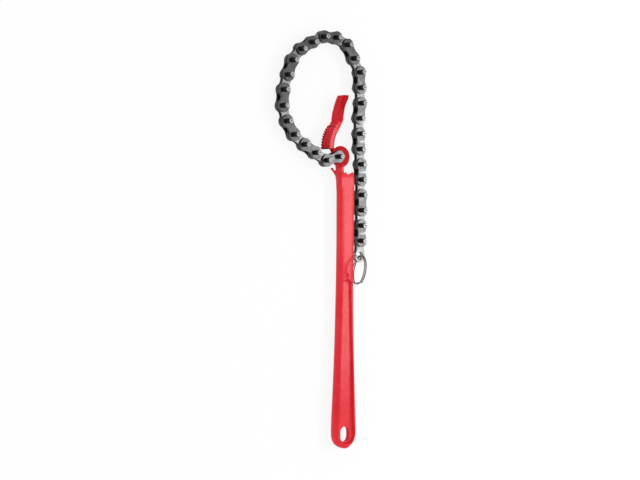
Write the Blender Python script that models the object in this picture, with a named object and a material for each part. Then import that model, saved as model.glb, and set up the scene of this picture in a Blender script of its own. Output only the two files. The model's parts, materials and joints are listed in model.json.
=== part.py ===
# Chain wrench lying on its side: a one-piece handle with boss and toothed jaw,
# a chain of pinned links that starts at the boss, and a split ring on its last link.
# Metres, +Z up. The origin is the axis of the anchor pin at floor level, +Y runs
# from the grip to the jaw, and heights are counted from the wrench's middle plane.
import bpy
import bmesh
from math import asin, cos, pi, radians, sin
from mathutils import Matrix, Vector

MM = 0.001
OBJECT_NAME = "chain_wrench"

# Running clearance between neighbours, and how far a cutter overshoots what it cuts
GAP = 0.3 * MM
OVERRUN = 2.0 * MM
SHARP_ANGLE = radians(30)
FLAT_ANGLE = radians(0.5)

# Chain
PITCH = 15.875 * MM
PIN_RADIUS = 2.5 * MM
PIN_LENGTH = 19.5 * MM
BUSH_RADIUS = 3.7 * MM
LOBE_RADIUS = 6.5 * MM
WAIST_HEIGHT = 9.6 * MM
PLATE_THICKNESS = 1.5 * MM
INNER_WIDTH = 1.8 * MM
RING_HOLE_RADIUS = 4.1 * MM
PIN_SIDES = 10
LOBE_STEPS = 8
WAIST_STEPS = 4
LOBE_REACH = radians(115)

# The first number is the heading of the first link, the others are turns from link to link
LINK_TURNS_DEGREES = (
    195, -43, -2, -7, -19, -17, -21, -14, -3, -21, -19, -5, -23, -25,
    -33, -3, -28, 1, -10, 8, -1, 6, -6, 2, -3, -1, 2, -4,
)

# Split ring on the last link
RING_RADIUS = 14.85 * MM
RING_WIRE_RADIUS = 0.65 * MM
RING_WIRE_GAP = 0.45 * MM
RING_TURNS = 2
RING_STEPS = 24
RING_LEAN = radians(73.7)
RING_SWING = radians(-6.4)
RING_SLIDE = 1.2 * MM

# Handle sections in mm: distance down from the anchor pin, middle line to the right
# of the pin, width, thickness and corner radius
HANDLE_SECTIONS_MM = (
    (27, 10.7, 18.2, 9.0, 1.2),
    (90, 10.45, 18.3, 9.1, 1.2),
    (115, 9.9, 18.4, 9.5, 1.3),
    (131, 9.6, 18.9, 10.1, 1.6),
    (150, 9.3, 19.6, 10.8, 2.0),
    (176, 9.1, 20.7, 11.7, 2.4),
    (207, 8.9, 22.7, 13.2, 3.0),
    (238, 8.6, 24.9, 15.0, 3.6),
    (259, 8.3, 26.8, 16.0, 3.9),
    (272, 8.1, 28.0, 16.4, 4.0),
    (284, 8.05, 29.0, 16.2, 4.0),
    (288, 8.05, 28.8, 15.8, 4.0),
    (291.7, 8.05, 27.2, 15.3, 4.0),
    (293.8, 8.05, 25.4, 14.9, 4.0),
    (295.9, 8.05, 22.6, 14.3, 4.0),
    (298.4, 8.05, 16.4, 13.0, 4.0),
    (300.0, 8.05, 9.6, 11.5, 3.8),
    (301.0, 8.05, 3.6, 9.4, 1.6),
)
SHANK_THICKNESS = 9.0 * MM
GRIP_THICKNESS = 16.4 * MM
CORNER_STEPS = 3
LARGEST_ROUNDING_SHARE = 0.49

# Panel sunk in both faces of the handle, the hang hole in it and a dent above it.
# The panel's sections in mm: distance down from the anchor pin and half width
WEB_THICKNESS = 5.2 * MM
PANEL_SECTIONS_MM = (
    (131, 4.4), (150, 4.95), (176, 5.6), (207, 6.7), (238, 7.2), (259, 7.6), (270, 7.9), (279, 8.9),
)
PANEL_TOP_STEPS = 6
PANEL_END_DOWN = 286.2 * MM
PANEL_END_RADIUS = 9.5 * MM
PANEL_END_STEPS = 10
HANG_HOLE_DOWN = 286.3 * MM
HANG_HOLE_WIDTH = 11.0 * MM
HANG_HOLE_LENGTH = 16.0 * MM
HANG_HOLE_STEPS = 8
DENT_DOWN = 122.0 * MM
DENT_RADIUS = 1.7 * MM
DENT_DEPTH = 0.9 * MM

# Head of the handle: two cheeks with a saddle across them and a slot between them.
# Its edges in mm, as distance to the right of the anchor pin and distance down from it
HEAD_LEFT_MM = ((-2.6, 11.3), (-2.2, 13.2), (-0.4, 15.9), (1.4, 19.8), (1.8, 33))
HEAD_RIGHT_MM = ((14.6, 11.3), (15.2, 14), (17.4, 18), (19.2, 23), (19.7, 33))
HEAD_TOP = 11.0 * MM
# Half the head's thickness, as distance down from the anchor pin and height from the middle plane
CHEEK_SLOPE_MM = ((12.5, 8.3), (15.5, 7.3), (18.5, 6.15), (21.5, 5.3), (24.5, 4.6), (33, 4.2))
SLOT_SIDE_CLEARANCE = 0.6 * MM
SLOT_DEPTH = 20.3 * MM
SADDLE_RADIUS = 12.0 * MM
SADDLE_X = 8.3 * MM
SADDLE_BOTTOM = 17.8 * MM
SADDLE_SIDES = 40

# Boss that the anchor pin passes through, the neck below it, and the neck's thick core
BOSS_X = 4.5 * MM
BOSS_RADIUS = 11.1 * MM
BOSS_SIDES = 36
NECK_OUTLINE_MM = (
    (-1.9, 4), (-1.6, 8), (-0.4, 13), (0.3, 18), (1.8, 31), (12, 31), (10, 20), (7.6, 15), (7.0, 4),
)
CORE_OUTLINE_MM = (
    (0.6, 8.8), (1.1, 13), (1.4, 18), (1.5, 21), (9.8, 21), (9.2, 18.6), (6.4, 17), (5.0, 13), (4.6, 8.8),
)
CORE_THICKNESS = 10.0 * MM

# Jaw: a wide strip in two curved pads, teeth across its front and its back, on a narrow rib
JAW_WIDTH = 14.6 * MM
PAD_THICKNESS = 4.2 * MM
RIB_DEPTH = 3.8 * MM
TOOTH_DEPTH = 1.2 * MM
LOWER_BACK_TOOTH_DEPTH = 2.2 * MM
UPPER_BACK_TOOTH_DEPTH = 1.4 * MM
TOOTH_TIP_SHARES = (0.08, 0.5)
TOOTH_ROOT_SHARES = (0.62, 0.96)
PAD_ARC_STEPS = 6
LOWER_PAD_RADIUS = 33.3 * MM
LOWER_PAD_X = -15.6 * MM + LOWER_PAD_RADIUS
LOWER_PAD_Y = 9.9 * MM
LOWER_PAD_ANGLES = (radians(182.6), radians(142.5))
LOWER_PAD_TOE_ANGLE = radians(184.6)
LOWER_PAD_TEETH = 8
UPPER_PAD_RADIUS = 49.3 * MM
UPPER_PAD_X = -3.2 * MM + UPPER_PAD_RADIUS
UPPER_PAD_Y = 35.9 * MM
UPPER_PAD_ANGLES = (radians(178.5), radians(147.0))
UPPER_PAD_TEETH = 7
UPPER_SMOOTH_SHARE = 0.35
LOWER_BACK_ANGLES = (radians(147.5), radians(181))
UPPER_BACK_ANGLES = (radians(149.5), radians(164.5))
LOWER_BACK_TEETH = 8
UPPER_BACK_TEETH = 5
JAW_TIP_ANGLE = radians(143.6)
# The rib's ends along the pads, and its foot as shares of the boss radius left of and above the boss
RIB_TOP_SHARE = 0.93
RIB_FOOT_SHARE = 0.12
RIB_TOP_SLANT = radians(3)
RIB_FOOT_SLANT = radians(1)
RIB_FOOT_SHARES = ((0.8, 0.8), (0.3, 0.6), (0.85, 0.2), (1.1, 0.52), (1.32, 0.8))
# The notch between the two pads, in mm to the right of the anchor pin and up from it
PAD_NOTCH_MM = ((-8.0, 30.8), (-3.9, 33.2), (-3.0, 35.4))

# Heights above and below the middle plane that follow from the plates and gaps
INNER_FACE = INNER_WIDTH / 2
INNER_OUTSIDE = INNER_FACE + PLATE_THICKNESS
OUTER_FACE = INNER_OUTSIDE + GAP
OUTER_OUTSIDE = OUTER_FACE + PLATE_THICKNESS
PIN_REACH = PIN_LENGTH / 2
TONGUE_REACH = OUTER_FACE - GAP
SLOT_REACH = OUTER_OUTSIDE + SLOT_SIDE_CLEARANCE
MIDDLE_HEIGHT = PIN_REACH


def clear_scene():
    for thing in list(bpy.data.objects):
        bpy.data.objects.remove(thing, do_unlink=True)


def make_collection(name):
    collection = bpy.data.collections.new(name)
    bpy.context.scene.collection.children.link(collection)
    return collection


def make_material(name, color, metallic, roughness):
    material = bpy.data.materials.new(name)
    material.use_nodes = True
    shader = material.node_tree.nodes["Principled BSDF"]
    shader.inputs["Base Color"].default_value = (*color, 1.0)
    shader.inputs["Metallic"].default_value = metallic
    shader.inputs["Roughness"].default_value = roughness
    return material


def put(thing, collection):
    collection.objects.link(thing)
    return thing


def bounding_radius(flat_radius, sides):
    # A polygon's corner radius, when its flats lie at flat_radius
    return flat_radius / cos(pi / sides)


def cylinder(name, radius, low, high, x, y, sides, collection):
    mesh = bpy.data.meshes.new(name)
    work = bmesh.new()
    bmesh.ops.create_cone(
        work, cap_ends=True, segments=sides, radius1=radius, radius2=radius, depth=high - low)
    bmesh.ops.translate(work, verts=work.verts, vec=(x, y, (low + high) / 2))
    work.to_mesh(mesh)
    work.free()
    return put(bpy.data.objects.new(name, mesh), collection)


def box(name, low_corner, high_corner, collection):
    mesh = bpy.data.meshes.new(name)
    work = bmesh.new()
    bmesh.ops.create_cube(work, size=1)
    size = Vector(high_corner) - Vector(low_corner)
    bmesh.ops.scale(work, verts=work.verts, vec=size)
    bmesh.ops.translate(work, verts=work.verts, vec=Vector(low_corner) + size / 2)
    work.to_mesh(mesh)
    work.free()
    return put(bpy.data.objects.new(name, mesh), collection)


def mesh_from(thing, name):
    # The evaluated mesh of a curve or of an object with modifiers, with its caps welded
    bpy.context.view_layer.update()
    shown = thing.evaluated_get(bpy.context.evaluated_depsgraph_get())
    mesh = bpy.data.meshes.new_from_object(shown)
    mesh.name = name
    work = bmesh.new()
    work.from_mesh(mesh)
    bmesh.ops.remove_doubles(work, verts=work.verts, dist=GAP / 100)
    work.to_mesh(mesh)
    work.free()
    return mesh


def join_flat_faces(mesh):
    # Fill triangles of a flat cap become one face, so the next Boolean has clean edges
    work = bmesh.new()
    work.from_mesh(mesh)
    bmesh.ops.dissolve_limit(work, angle_limit=FLAT_ANGLE, verts=work.verts, edges=work.edges)
    work.to_mesh(mesh)
    work.free()


def prism(name, points, low, high, collection):
    curve = bpy.data.curves.new(name, "CURVE")
    curve.dimensions = "2D"
    curve.fill_mode = "BOTH"
    curve.extrude = (high - low) / 2
    spline = curve.splines.new("POLY")
    spline.points.add(len(points) - 1)
    for point, (x, y) in zip(spline.points, points):
        point.co = (x, y, 0, 1)
    spline.use_cyclic_u = True
    outline = put(bpy.data.objects.new(name, curve), collection)
    outline.location.z = (low + high) / 2
    mesh = mesh_from(outline, name)
    join_flat_faces(mesh)
    solid = put(bpy.data.objects.new(name, mesh), collection)
    solid.matrix_world = outline.matrix_world.copy()
    bpy.data.objects.remove(outline, do_unlink=True)
    return solid


def combine(target, others, operation):
    for other in others:
        step = target.modifiers.new(operation.lower(), "BOOLEAN")
        step.operation = operation
        step.solver = "EXACT"
        step.object = other
        other.hide_render = True
        other.display_type = "WIRE"


def finish_mesh(thing, name):
    # The result of all its modifiers, as a plain mesh shaded smooth below its sharp edges
    mesh = mesh_from(thing, name)
    mesh.transform(thing.matrix_world)
    mesh.shade_smooth()
    mesh.set_sharp_from_angle(angle=SHARP_ANGLE)
    return mesh


def arc(x, y, radius, start, end, steps):
    points = []
    for i in range(steps + 1):
        angle = start + (end - start) * i / steps
        points.append((x + radius * cos(angle), y + radius * sin(angle)))
    return points


# Chain links, each drawn from its first pin at the origin to its second pin along +X

def link_outline():
    left = arc(0, 0, LOBE_RADIUS, LOBE_REACH - pi / 4, 2 * pi - LOBE_REACH + pi / 4, LOBE_STEPS)
    edge_x, edge_y = left[-1]
    middle = PITCH / 2
    waist = []
    for i in range(1, WAIST_STEPS):
        x = edge_x + (PITCH - 2 * edge_x) * i / WAIST_STEPS
        rise = ((x - middle) / (middle - edge_x)) ** 2
        waist.append((x, edge_y + (WAIST_HEIGHT / 2 + edge_y) * (rise - 1) * -1))
    half = left + waist
    other_half = [(PITCH - x, -y) for x, y in half]
    return half + other_half


def link_plate(name, low, high, hole_radii, collection):
    plate = prism(name, link_outline(), low, high, collection)
    holes = []
    for x, radius in zip((0, PITCH), hole_radii):
        if radius:
            corner = bounding_radius(radius, PIN_SIDES)
            hole = cylinder(
                name + "_hole", corner, low - OVERRUN, high + OVERRUN, x, 0, PIN_SIDES, collection)
            holes.append(hole)
    combine(plate, holes, "DIFFERENCE")
    return plate


def pin_plate_mesh(name, pin_places, collection):
    # The lower outer plate with its pins riveted in; an open place is a hole for another pin
    open_radii = [0 if x in pin_places else PIN_RADIUS + GAP for x in (0, PITCH)]
    plate = link_plate(name, -OUTER_OUTSIDE, -OUTER_FACE, open_radii, collection)
    pins = []
    for x in pin_places:
        pin = cylinder(name + "_pin", PIN_RADIUS, -PIN_REACH, PIN_REACH, x, 0, PIN_SIDES, collection)
        pins.append(pin)
    combine(plate, pins, "UNION")
    return finish_mesh(plate, name)


def bush_plate_mesh(name, bush_places, collection):
    # The lower inner plate with its bushes pressed in, bored for the pins
    radii = [0 if x in bush_places else RING_HOLE_RADIUS for x in (0, PITCH)]
    plate = link_plate(name, -INNER_OUTSIDE, -INNER_FACE, radii, collection)
    middle = -(INNER_OUTSIDE + INNER_FACE) / 2
    bushes = []
    bores = []
    bore_radius = bounding_radius(PIN_RADIUS + GAP, PIN_SIDES)
    for x in bush_places:
        bush = cylinder(
            name + "_bush", BUSH_RADIUS, middle, INNER_OUTSIDE, x, 0, PIN_SIDES, collection)
        bore = cylinder(name + "_bore", bore_radius, -PIN_REACH, PIN_REACH, x, 0, PIN_SIDES, collection)
        bushes.append(bush)
        bores.append(bore)
    combine(plate, bushes, "UNION")
    combine(plate, bores, "DIFFERENCE")
    return finish_mesh(plate, name)


def make_link_meshes(cutters):
    bush_hole = BUSH_RADIUS + GAP
    pin_hole = PIN_RADIUS + GAP
    cover = link_plate("cover_plate", OUTER_FACE, OUTER_OUTSIDE, (pin_hole, pin_hole), cutters)
    side = link_plate("side_plate", INNER_FACE, INNER_OUTSIDE, (bush_hole, bush_hole), cutters)
    end_side = link_plate(
        "end_side_plate", INNER_FACE, INNER_OUTSIDE, (bush_hole, RING_HOLE_RADIUS), cutters)
    return {
        "first_pin_plate": pin_plate_mesh("first_pin_plate", (PITCH,), cutters),
        "pin_plate": pin_plate_mesh("pin_plate", (0, PITCH), cutters),
        "cover_plate": finish_mesh(cover, "cover_plate"),
        "bush_plate": bush_plate_mesh("bush_plate", (0, PITCH), cutters),
        "side_plate": finish_mesh(side, "side_plate"),
        "end_bush_plate": bush_plate_mesh("end_bush_plate", (0,), cutters),
        "end_side_plate": finish_mesh(end_side, "end_side_plate"),
    }


def add_part(name, mesh, parent, material, collection):
    part = put(bpy.data.objects.new(name, mesh), collection)
    mesh.materials.clear()
    mesh.materials.append(material)
    part.parent = parent
    return part


def add_pivot(name, parent, x, z, turn, collection):
    pivot = put(bpy.data.objects.new(name, None), collection)
    pivot.parent = parent
    pivot.location = (x, 0, z)
    pivot.rotation_euler.z = turn
    pivot.empty_display_size = PIN_RADIUS
    return pivot


def make_chain(meshes, materials, collection):
    link_count = len(LINK_TURNS_DEGREES)
    pivot = None
    for index, degrees in enumerate(LINK_TURNS_DEGREES):
        name = f"link_{index + 1:02d}"
        x, z = (0, MIDDLE_HEIGHT) if pivot is None else (PITCH, 0)
        pivot = add_pivot(name + "_pivot", pivot, x, z, radians(degrees), collection)
        if index % 2 == 0:
            kinds = ("first_pin_plate" if index == 0 else "pin_plate", "cover_plate")
            labels = ("pin_plate", "cover_plate")
        else:
            last = index == link_count - 1
            kinds = ("end_bush_plate", "end_side_plate") if last else ("bush_plate", "side_plate")
            labels = ("bush_plate", "side_plate")
        for kind, label in zip(kinds, labels):
            add_part(f"{name}_{label}", meshes[kind], pivot, materials[kind], collection)
    return pivot


def make_split_ring(last_link, material, collection):
    # The ring stands on its rim beside the handle and leans on the last link's plates
    pivot = add_pivot("split_ring_pivot", last_link, PITCH, 0, RING_SWING, collection)
    wire_pitch = 2 * RING_WIRE_RADIUS + RING_WIRE_GAP
    toward_hole = Vector((-1, 0, 0))
    upward = Vector((0, -cos(RING_LEAN), sin(RING_LEAN)))
    axis = Vector((0, sin(RING_LEAN), cos(RING_LEAN)))
    edge = (RING_RADIUS + RING_WIRE_RADIUS) * sin(RING_LEAN)
    side = (RING_WIRE_RADIUS + wire_pitch) * cos(RING_LEAN)
    centre_height = edge + side + GAP
    hole_angle = -asin((centre_height - MIDDLE_HEIGHT) / (RING_RADIUS * sin(RING_LEAN)))
    centre = -RING_RADIUS * (cos(hole_angle) * toward_hole + sin(hole_angle) * upward)
    centre.x += RING_SLIDE
    curve = bpy.data.curves.new("split_ring", "CURVE")
    curve.dimensions = "3D"
    curve.bevel_depth = RING_WIRE_RADIUS
    curve.bevel_resolution = 1
    curve.use_fill_caps = True
    spline = curve.splines.new("POLY")
    spline.points.add(RING_TURNS * RING_STEPS)
    for i, point in enumerate(spline.points):
        turns_done = i / RING_STEPS
        angle = hole_angle + pi + 2 * pi * turns_done
        along = wire_pitch * (turns_done - RING_TURNS / 2)
        place = centre + RING_RADIUS * (cos(angle) * toward_hole + sin(angle) * upward) + along * axis
        point.co = (*place, 1)
    curve.materials.append(material)
    ring = put(bpy.data.objects.new("split_ring", curve), collection)
    ring.parent = pivot
    print(f"least gap between the split ring's turns: {RING_WIRE_GAP / MM:.2f} mm")
    return ring


# Handle

def rounded_section(width, thickness, rounding):
    # Corner arcs of one section, as x across the handle and z from its middle plane
    radius = min(rounding, LARGEST_ROUNDING_SHARE * width, LARGEST_ROUNDING_SHARE * thickness)
    points = []
    for quarter, (sx, sz) in enumerate(((1, 1), (-1, 1), (-1, -1), (1, -1))):
        x = sx * (width / 2 - radius)
        z = sz * (thickness / 2 - radius)
        points.extend(arc(x, z, radius, quarter * pi / 2, (quarter + 1) * pi / 2, CORNER_STEPS))
    return points


def middle_at(down):
    # The handle's middle line between the measured sections
    for above, below in zip(HANDLE_SECTIONS_MM, HANDLE_SECTIONS_MM[1:]):
        if down <= below[0] * MM:
            share = (down - above[0] * MM) / (below[0] * MM - above[0] * MM)
            return (above[1] + (below[1] - above[1]) * share) * MM
    return HANDLE_SECTIONS_MM[-1][1] * MM


def loft_shank(name, collection):
    work = bmesh.new()
    rings = []
    for section in HANDLE_SECTIONS_MM:
        down, middle, width, thickness, rounding = (value * MM for value in section)
        ring = []
        for x, z in rounded_section(width, thickness, rounding):
            ring.append(work.verts.new((middle + x, -down, z)))
        rings.append(ring)
    for ring, following in zip(rings, rings[1:]):
        count = len(ring)
        for i in range(count):
            j = (i + 1) % count
            work.faces.new((ring[i], following[i], following[j], ring[j]))
    work.faces.new(rings[0])
    work.faces.new(list(reversed(rings[-1])))
    bmesh.ops.recalc_face_normals(work, faces=work.faces)
    mesh = bpy.data.meshes.new(name)
    work.to_mesh(mesh)
    work.free()
    return put(bpy.data.objects.new(name, mesh), collection)


def outline_from(points_mm):
    # Points given as distances to the right of the anchor pin and down from it
    return [(right * MM, -down * MM) for right, down in points_mm]


def make_head(cutters):
    # The two cheeks: plan outline, tapered from the side, with the saddle and the slot cut
    slope = [(-down * MM, height * MM) for down, height in CHEEK_SLOPE_MM]
    slope_top, reach = slope[0]
    edges = outline_from(HEAD_LEFT_MM) + list(reversed(outline_from(HEAD_RIGHT_MM)))
    head = prism("head", edges, -reach, reach, cutters)
    side = [(-HEAD_TOP + OVERRUN, reach + OVERRUN), (-HEAD_TOP + OVERRUN, -reach - OVERRUN)]
    side += [(slope_top, -reach - OVERRUN)]
    side += [(along, -height) for along, height in slope]
    side += [(along, height) for along, height in reversed(slope)]
    side += [(slope_top, reach + OVERRUN)]
    half_width = max(x for x, y in edges) + OVERRUN
    across = prism("head_side", side, -half_width, half_width, cutters)
    # Stand the side outline up: its x becomes y, its y becomes z, its thickness lies along x
    across.matrix_world = Matrix(((0, 0, 1, 0), (1, 0, 0, 0), (0, 1, 0, 0), (0, 0, 0, 1)))
    saddle = cylinder("saddle", SADDLE_RADIUS, -reach - OVERRUN, reach + OVERRUN,
                      SADDLE_X, SADDLE_RADIUS - SADDLE_BOTTOM, SADDLE_SIDES, cutters)
    slot = box("slot", (-half_width, -SLOT_DEPTH, -SLOT_REACH), (half_width, OVERRUN, SLOT_REACH), cutters)
    combine(head, [across], "INTERSECT")
    combine(head, [saddle, slot], "DIFFERENCE")
    return head


def pad_point(pad_x, pad_y, radius, angle):
    return (pad_x + radius * cos(angle), pad_y + radius * sin(angle))


def toothed_arc(pad_x, pad_y, tip_radius, root_radius, start, end, teeth):
    # Teeth with flat roots: two points at the tip radius and two at the root for each tooth
    points = []
    step = (end - start) / teeth
    for i in range(teeth):
        base = start + step * i
        for share in TOOTH_TIP_SHARES:
            points.append(pad_point(pad_x, pad_y, tip_radius, base + step * share))
        for share in TOOTH_ROOT_SHARES:
            points.append(pad_point(pad_x, pad_y, root_radius, base + step * share))
    return points


def jaw_outline():
    low_start, low_end = LOWER_PAD_ANGLES
    up_start, up_end = UPPER_PAD_ANGLES
    up_smooth = up_start + (up_end - up_start) * UPPER_SMOOTH_SHARE
    low_back = LOWER_PAD_RADIUS - PAD_THICKNESS
    up_back = UPPER_PAD_RADIUS - PAD_THICKNESS
    low_root = LOWER_PAD_RADIUS - TOOTH_DEPTH
    up_root = UPPER_PAD_RADIUS - TOOTH_DEPTH
    front = [pad_point(LOWER_PAD_X, LOWER_PAD_Y, low_root, LOWER_PAD_TOE_ANGLE)]
    front += toothed_arc(
        LOWER_PAD_X, LOWER_PAD_Y, LOWER_PAD_RADIUS, low_root, low_start, low_end, LOWER_PAD_TEETH)
    front += [(x * MM, y * MM) for x, y in PAD_NOTCH_MM]
    front += arc(UPPER_PAD_X, UPPER_PAD_Y, UPPER_PAD_RADIUS, up_start, up_smooth, PAD_ARC_STEPS // 2)
    front += toothed_arc(
        UPPER_PAD_X, UPPER_PAD_Y, UPPER_PAD_RADIUS, up_root, up_smooth, up_end, UPPER_PAD_TEETH)
    front.append(pad_point(UPPER_PAD_X, UPPER_PAD_Y, UPPER_PAD_RADIUS, up_end))
    # The back's teeth stand out toward the centre of each pad's arc
    up_back_start, up_back_end = UPPER_BACK_ANGLES
    low_back_start, low_back_end = LOWER_BACK_ANGLES
    back = [pad_point(UPPER_PAD_X, UPPER_PAD_Y, up_back, JAW_TIP_ANGLE)]
    up_tip = up_back - UPPER_BACK_TOOTH_DEPTH
    low_tip = low_back - LOWER_BACK_TOOTH_DEPTH
    back += toothed_arc(
        UPPER_PAD_X, UPPER_PAD_Y, up_tip, up_back, up_back_start, up_back_end, UPPER_BACK_TEETH)
    back += arc(UPPER_PAD_X, UPPER_PAD_Y, up_tip, up_back_end, up_start, PAD_ARC_STEPS)
    back += toothed_arc(
        LOWER_PAD_X, LOWER_PAD_Y, low_tip, low_back, low_back_start, low_back_end, LOWER_BACK_TEETH)
    back.append(pad_point(LOWER_PAD_X, LOWER_PAD_Y, low_back, low_start))
    return front + back


def rib_outline():
    # From inside the strip to behind it, and down to the boss
    low_start, low_end = LOWER_PAD_ANGLES
    up_start, up_end = UPPER_PAD_ANGLES
    up_top = up_start + (up_end - up_start) * RIB_TOP_SHARE
    low_foot = low_start + (low_end - low_start) * RIB_FOOT_SHARE
    up_inside = UPPER_PAD_RADIUS - PAD_THICKNESS / 2
    low_inside = LOWER_PAD_RADIUS - PAD_THICKNESS / 2
    up_behind = UPPER_PAD_RADIUS - PAD_THICKNESS - RIB_DEPTH
    low_behind = LOWER_PAD_RADIUS - PAD_THICKNESS - RIB_DEPTH
    back_top = up_top - RIB_TOP_SLANT
    back_foot = low_foot + RIB_FOOT_SLANT
    front = arc(LOWER_PAD_X, LOWER_PAD_Y, low_inside, low_foot, low_end, PAD_ARC_STEPS)
    front += arc(UPPER_PAD_X, UPPER_PAD_Y, up_inside, up_start, up_top, PAD_ARC_STEPS)
    back = arc(UPPER_PAD_X, UPPER_PAD_Y, up_behind, back_top, up_start, PAD_ARC_STEPS)
    back += arc(LOWER_PAD_X, LOWER_PAD_Y, low_behind, low_end, back_foot, PAD_ARC_STEPS)
    foot = [(BOSS_X - BOSS_RADIUS * left, BOSS_RADIUS * up) for left, up in RIB_FOOT_SHARES]
    return front + back + foot


def panel_outline():
    # Round at both ends, with sides that follow the handle's middle line and the panel's sections
    top, top_half = (value * MM for value in PANEL_SECTIONS_MM[0])
    left = [(middle_at(down * MM) - half * MM, -down * MM) for down, half in PANEL_SECTIONS_MM[1:]]
    right = [(middle_at(down * MM) + half * MM, -down * MM) for down, half in PANEL_SECTIONS_MM[1:]]
    points = arc(middle_at(top), -top, top_half, 0, pi, PANEL_TOP_STEPS)
    points += left
    points += arc(middle_at(PANEL_END_DOWN), -PANEL_END_DOWN, PANEL_END_RADIUS, pi, 2 * pi, PANEL_END_STEPS)
    return points + list(reversed(right))


def hang_hole_outline():
    radius = HANG_HOLE_WIDTH / 2
    rise = (HANG_HOLE_LENGTH - HANG_HOLE_WIDTH) / 2
    x = middle_at(HANG_HOLE_DOWN)
    top = arc(x, -HANG_HOLE_DOWN + rise, radius, 0, pi, HANG_HOLE_STEPS)
    bottom = arc(x, -HANG_HOLE_DOWN - rise, radius, pi, 2 * pi, HANG_HOLE_STEPS)
    return top + bottom


def make_handle(material, collection, cutters):
    shank = loft_shank("shank", cutters)
    head = make_head(cutters)
    boss = cylinder("boss", BOSS_RADIUS, -TONGUE_REACH, TONGUE_REACH, BOSS_X, 0, BOSS_SIDES, cutters)
    neck = prism("neck", outline_from(NECK_OUTLINE_MM), -TONGUE_REACH, TONGUE_REACH, cutters)
    core_reach = CORE_THICKNESS / 2
    core = prism("core", outline_from(CORE_OUTLINE_MM), -core_reach, core_reach, cutters)
    rib = prism("rib", rib_outline(), -TONGUE_REACH, TONGUE_REACH, cutters)
    jaw = prism("jaw", jaw_outline(), -JAW_WIDTH / 2, JAW_WIDTH / 2, cutters)
    reach = GRIP_THICKNESS / 2 + OVERRUN
    upper_panel = prism("upper_panel", panel_outline(), WEB_THICKNESS / 2, reach, cutters)
    lower_panel = prism("lower_panel", panel_outline(), -reach, -WEB_THICKNESS / 2, cutters)
    hang_hole = prism("hang_hole", hang_hole_outline(), -reach, reach, cutters)
    bore_radius = bounding_radius(PIN_RADIUS + GAP, PIN_SIDES)
    anchor_bore = cylinder("anchor_bore", bore_radius, -PIN_REACH, PIN_REACH, 0, 0, PIN_SIDES, cutters)
    dent = cylinder("dent", DENT_RADIUS, SHANK_THICKNESS / 2 - DENT_DEPTH, reach,
                    middle_at(DENT_DOWN), -DENT_DOWN, PIN_SIDES, cutters)
    combine(shank, [head, boss, neck, core, rib, jaw], "UNION")
    combine(shank, [upper_panel, lower_panel, hang_hole, anchor_bore, dent], "DIFFERENCE")
    handle = add_part("handle", finish_mesh(shank, "handle"), None, material, collection)
    handle.location.z = MIDDLE_HEIGHT
    return handle


def make_anchor_pin(material, collection):
    pin = cylinder("anchor_pin", PIN_RADIUS, -PIN_REACH, PIN_REACH, 0, 0, PIN_SIDES, collection)
    pin.location.z = MIDDLE_HEIGHT
    pin.data.materials.append(material)
    return pin


def build():
    clear_scene()
    parts = make_collection(OBJECT_NAME)
    cutters = make_collection("cutters")
    dark_steel = (0.09, 0.09, 0.095)
    inner_steel = (0.12, 0.12, 0.125)
    light_steel = (0.42, 0.42, 0.42)
    first_plate = make_material("first_plate_steel", dark_steel, 0.8, 0.42)
    materials = {
        "first_pin_plate": first_plate,
        "pin_plate": make_material("outer_plate_steel", dark_steel, 0.8, 0.42),
        "cover_plate": make_material("cover_plate_steel", dark_steel, 0.8, 0.4),
        "bush_plate": make_material("inner_plate_steel", inner_steel, 0.8, 0.42),
        "side_plate": make_material("side_plate_steel", inner_steel, 0.8, 0.4),
        "end_bush_plate": make_material("end_bush_plate_steel", light_steel, 0.9, 0.36),
        "end_side_plate": make_material("end_link_steel", light_steel, 0.9, 0.34),
    }
    red_paint = make_material("red_paint", (0.72, 0.02, 0.03), 0.0, 0.3)
    pin_steel = make_material("pin_steel", (0.55, 0.55, 0.56), 0.95, 0.3)
    nickel = make_material("nickel_wire", (0.7, 0.7, 0.7), 1.0, 0.22)
    make_handle(red_paint, parts, cutters)
    make_anchor_pin(pin_steel, parts)
    last_link = make_chain(make_link_meshes(cutters), materials, parts)
    make_split_ring(last_link, nickel, parts)
    for thing in cutters.objects:
        thing.hide_render = True
        thing.display_type = "WIRE"
    bpy.context.view_layer.update()


build()
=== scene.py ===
# Chain wrench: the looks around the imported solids, with the photo's camera and soft studio light.
# The solids' frame is in metres. Sizes in the dictionaries below are in mm unless they say otherwise.
import json
from math import asin, atan2, cos, degrees, hypot, pi, radians, sin
import bpy
from mathutils import Matrix, Vector


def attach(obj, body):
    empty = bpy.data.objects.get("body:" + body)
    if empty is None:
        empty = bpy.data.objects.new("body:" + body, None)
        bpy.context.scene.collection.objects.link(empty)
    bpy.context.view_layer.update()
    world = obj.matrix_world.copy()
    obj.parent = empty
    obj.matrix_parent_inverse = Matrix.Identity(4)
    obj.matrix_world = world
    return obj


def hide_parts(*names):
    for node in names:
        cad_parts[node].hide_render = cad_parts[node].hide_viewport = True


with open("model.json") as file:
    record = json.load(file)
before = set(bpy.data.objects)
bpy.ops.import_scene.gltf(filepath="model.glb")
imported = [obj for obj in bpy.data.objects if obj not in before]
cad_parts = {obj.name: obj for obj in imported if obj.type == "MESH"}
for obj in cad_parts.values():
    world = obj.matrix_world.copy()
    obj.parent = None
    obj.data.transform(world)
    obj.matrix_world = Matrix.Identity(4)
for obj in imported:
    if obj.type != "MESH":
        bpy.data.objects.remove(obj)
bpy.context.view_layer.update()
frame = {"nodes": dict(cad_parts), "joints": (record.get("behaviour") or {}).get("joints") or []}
mm = 0.001
midHeight = 9.75 * mm  # the wrench's middle plane above the floor
past = 2  # mm that a cutter reaches past what it cuts
print("frame loaded:", len(frame["nodes"]), "nodes")


# small helpers

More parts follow.
